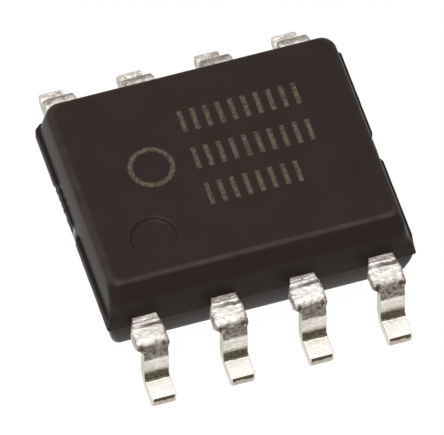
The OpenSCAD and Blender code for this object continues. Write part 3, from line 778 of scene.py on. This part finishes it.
# Painted shade: the pressed lines and pits take a dark brown.
mark_shade_share = add(tree, "ShaderNodeMath", {"operation": "MULTIPLY", "use_clamp": True}, [
    wear_and_painted_light.outputs["Y"], 0.85])
tone = add(tree, "ShaderNodeMix", "RGBA", {0: mark_shade_share, 6: scuff_and_shade_tone, 7: linear("#4c4138")})
relief = add(tree, "ShaderNodeBump", None, {"Height": grains, "Strength": 0.6, "Distance": 0.008 * MM})
gloss = add(tree, "ShaderNodeMapRange", None, {"Value": flecks, "To Min": 0.36, "To Max": 0.48})
surface(tree, {"Base Color": tone, "Metallic": 0.6, "Roughness": gloss, "Normal": relief})

# Sheared copper: the tin is smeared dark over the top of the cut, and the rest is torn bare.
cut_copper, tree, place = new_material("sheared_copper")
tearing = add(tree, "ShaderNodeTexNoise", None, {"Vector": place, "Scale": 14.0, "Detail": 3.0})
up = add(tree, "ShaderNodeSeparateXYZ", None, [place]).outputs["Z"]
tear_at = add(tree, "ShaderNodeMath", "MULTIPLY_ADD", [tearing, -0.12, up])
tear = add(tree, "ShaderNodeMapRange", "SMOOTHSTEP", {
    "Value": tear_at, "From Min": 0.02, "From Max": 0.05})
bare = add(tree, "ShaderNodeMix", "RGBA", {0: tearing, 6: linear("#a59a8a"), 7: linear("#e2d8c8")})
tone = add(tree, "ShaderNodeMix", "RGBA", {0: tear, 6: bare, 7: linear("#4e4030")})
surface(tree, {"Base Color": tone, "Metallic": 0.7, "Roughness": 0.5})

for number in LEAD_NUMBERS:
    node = f"lead_{number}"
    in_front = number <= 4
    column = number - 1 if in_front else 8 - number
    piece = shown_piece(f"tinned_lead_{number}", bpy.data.meshes.new(node))
    former = piece.modifiers.new("lead", "NODES")
    former.node_group = blank
    own = {
        **(front_row if in_front else back_row), "Place": ((column - 1.5) * PITCH, 0.0, 0.0),
        "Turn": math.pi if in_front else 0.0, "Seed": 3.7 * number,
        "Plating": tin, "Cut copper": cut_copper}
    for label, socket in sizes.items():
        value = own.get(label, socket.default_value)
        if socket.socket_type == "NodeSocketVector":
            value = tuple(c * MM for c in value)
        elif socket.socket_type == "NodeSocketFloat" and label not in NOT_LENGTHS:
            value *= MM
        former[socket.identifier] = value
    evaluated = piece.evaluated_get(bpy.context.evaluated_depsgraph_get())
    outside = bpy.data.meshes.new_from_object(evaluated)
    piece.modifiers.clear()

    # The finger inside the resin is the solid's own, cut off where the shaped part starts.
    work = merged_copy(node)
    outward = -1.0 if in_front else 1.0
    cut = bmesh.ops.bisect_plane(
        work, geom=work.verts[:] + work.edges[:] + work.faces[:], dist=1e-9,
        plane_co=(0, outward * START_Y * MM, 0), plane_no=(0, outward, 0), clear_outer=True)
    edges = [e for e in cut["geom_cut"] if isinstance(e, bmesh.types.BMEdge)]
    bmesh.ops.contextual_create(work, geom=edges)
    for face in work.faces:
        face.material_index = len(outside.materials)
    outside.materials.append(copper)
    work.from_mesh(outside)
    bmesh.ops.recalc_face_normals(work, faces=work.faces)
    work.to_mesh(outside)
    work.free()
    outside.shade_smooth()
    outside.set_sharp_from_angle(angle=math.radians(50))
    piece.data = outside
    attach(piece, "root")
    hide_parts(node)


# ---------------------------------------------------------------------------
# Stage: a white table under a large soft light, in a room that is bright overhead and
# dimmer at the sides and behind the camera. The camera looks down on leads 1 to 4.
# ---------------------------------------------------------------------------
VIEW_AZIMUTH, VIEW_ELEVATION, VIEW_ROLL = -19.11, 56.05, 1.83
VIEW_DISTANCE, VIEW_SCALE = 172.0, 64.67
LOOK_AT = (0.0, 0.0, 0.7)
AIM_RIGHT, AIM_UP = -0.035, -0.380
IMAGE_W = 444
SENSOR = 36.0
TABLE_HALF = 400
BRIGHT_WAY, DIM, BRIGHT = (0.0, 0.35, 0.937), 0.32, 1.0
BOX_AT, BOX_SIZE, BOX_ENERGY = (-20, -10, 95), 60, 0.052

azimuth, elevation, roll = (math.radians(v) for v in (VIEW_AZIMUTH, VIEW_ELEVATION, VIEW_ROLL))
back = Vector((
    -math.sin(-azimuth) * math.cos(elevation), -math.cos(azimuth) * math.cos(elevation),
    math.sin(elevation)))
level = Vector((math.cos(azimuth), math.sin(azimuth), 0.0))
upright = back.cross(level)
right = level * math.cos(roll) + upright * math.sin(roll)
up = upright * math.cos(roll) - level * math.sin(roll)
centre = Vector(LOOK_AT) + back * VIEW_DISTANCE + right * AIM_RIGHT + up * AIM_UP
camera = bpy.data.objects.new("camera", bpy.data.cameras.new("camera"))
bpy.context.scene.collection.objects.link(camera)
camera.data.sensor_width = SENSOR
camera.data.lens = VIEW_SCALE * VIEW_DISTANCE * SENSOR / IMAGE_W
camera.data.clip_start, camera.data.clip_end = 1 * MM, 1.0
turn = Matrix((right, up, back)).transposed().to_4x4()
camera.matrix_world = Matrix.Translation(centre * MM) @ turn
bpy.context.scene.camera = camera
bpy.context.scene.view_settings.view_transform = "Standard"

table, tree, place = new_material("white_table")
seen = add(tree, "ShaderNodeLightPath")
matte = add(tree, "ShaderNodeBsdfDiffuse", None, {"Color": linear("#f4f4f2")})
white = add(tree, "ShaderNodeEmission", None, {"Color": (1, 1, 1, 1), "Strength": 1.0})
seen_directly = add(tree, "ShaderNodeMath", "MAXIMUM", [
    seen.outputs["Is Camera Ray"], add(tree, "ShaderNodeMath", "MULTIPLY", [
        seen.outputs["Is Glossy Ray"], 0.85])])
share_white = add(tree, "ShaderNodeMath", "MULTIPLY", [seen_directly, 0.985])
mixed = add(tree, "ShaderNodeMixShader", None, [share_white, matte, white])
add(tree, "ShaderNodeOutputMaterial", None, {"Surface": mixed})
mesh = bpy.data.meshes.new("table")
half = TABLE_HALF * MM
mesh.from_pydata(
    [(-half, -half, 0), (half, -half, 0), (half, half, 0), (-half, half, 0)], [], [(0, 1, 2, 3)])
floor = shown_piece("table", mesh, table)

world = bpy.data.worlds.new("room")
bpy.context.scene.world = world
world.use_nodes = True
tree = world.node_tree
tree.nodes.clear()
seen = add(tree, "ShaderNodeLightPath")
way = add(tree, "ShaderNodeTexCoord").outputs["Generated"]
towards_light = add(tree, "ShaderNodeVectorMath", "DOT_PRODUCT", [way, BRIGHT_WAY])
level_of_light = add(tree, "ShaderNodeMapRange", "SMOOTHSTEP", {
    "Value": towards_light, "From Min": 0.25, "From Max": 0.90, "To Min": DIM, "To Max": BRIGHT})
plain = add(tree, "ShaderNodeMix", None, {0: seen.outputs["Is Camera Ray"], 2: level_of_light, 3: 1.0})
room = add(tree, "ShaderNodeBackground", None, {"Color": (1, 1, 1, 1), "Strength": plain})
add(tree, "ShaderNodeOutputWorld", None, {"Surface": room})

softbox = bpy.data.objects.new("softbox", bpy.data.lights.new("softbox", "AREA"))
bpy.context.scene.collection.objects.link(softbox)
softbox.data.shape = "RECTANGLE"
softbox.data.size, softbox.data.size_y = BOX_SIZE * MM, BOX_SIZE * MM
softbox.data.energy = BOX_ENERGY
box_at = Vector(BOX_AT) * MM
softbox.location = box_at
softbox.rotation_mode = "QUATERNION"
softbox.rotation_quaternion = box_at.to_track_quat("Z", "Y")
